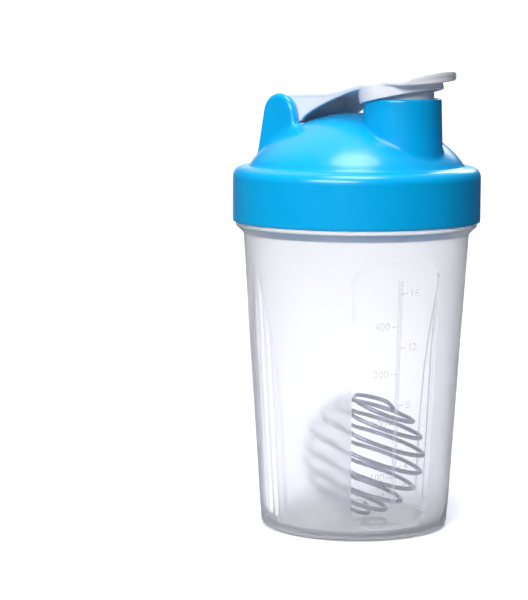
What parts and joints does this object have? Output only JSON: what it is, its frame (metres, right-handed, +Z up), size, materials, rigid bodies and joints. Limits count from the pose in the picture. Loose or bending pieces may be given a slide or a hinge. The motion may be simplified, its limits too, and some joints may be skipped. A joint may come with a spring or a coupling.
{
  "type": "protein shaker bottle",
  "caption": "Tapered frosted shaker cup with a blue domed screw lid, a drinking spout, a white flip cap on a hinge and a loose wire whisk ball inside.",
  "frame": {"origin": "centre of the foot, on the surface the bottle stands on", "axes": "+Z up along the bottle's axis, +X from the bottle's axis towards the drinking spout"},
  "size_m": [0.1, 0.1, 0.1848],
  "materials": {
    "cup_plastic": "frosted translucent polypropylene with polished clear windows",
    "lid_plastic": "glossy cyan-blue polypropylene",
    "cap_plastic": "satin white polypropylene",
    "seal_silicone": "matte translucent silicone",
    "whisk_steel": "polished stainless wire"
  },
  "bodies": {
    "cup": {"cup_shell": "cup_plastic"},
    "seal": {"lid_gasket": "seal_silicone"},
    "lid": {"lid_shell": "lid_plastic"},
    "flip_arm": {"flip_strap": "cap_plastic", "hinge_pin": "cap_plastic"},
    "spout_cap": {"cap_disc": "cap_plastic", "spout_plug": "cap_plastic"},
    "whisk": {"whisk_ball": "whisk_steel"}
  },
  "joints": [
    {"name": "lid_lift", "type": "slide", "parent": "cup", "child": "seal", "axis": [0, 0, 1], "range_m": [0, 0.048]},
    {"name": "lid_turn", "type": "hinge", "parent": "seal", "child": "lid", "pos_m": [0, 0, 0.133], "axis": [0, 0, 1], "range_deg": [0, 1440]},
    {"name": "flip_cap_hinge", "type": "hinge", "parent": "lid", "child": "flip_arm", "pos_m": [-0.0253, 0, 0.1682], "axis": [0, -1, 0], "range_deg": [0, 120]},
    {"name": "cap_press", "type": "hinge", "parent": "flip_arm", "child": "spout_cap", "pos_m": [0.0055, 0, 0.1711], "axis": [0.3, -0.9539, 0], "range_deg": [-11.5, 0]},
    {"name": "ball_lift", "type": "slide", "parent": "cup", "child": "whisk", "axis": [0, 0, 1], "range_m": [0, 0.08]}
  ],
  "couplings": [
    {"joint": "lid_lift", "follows": "lid_turn", "m_per_rad": 0.0019098}
  ]
}
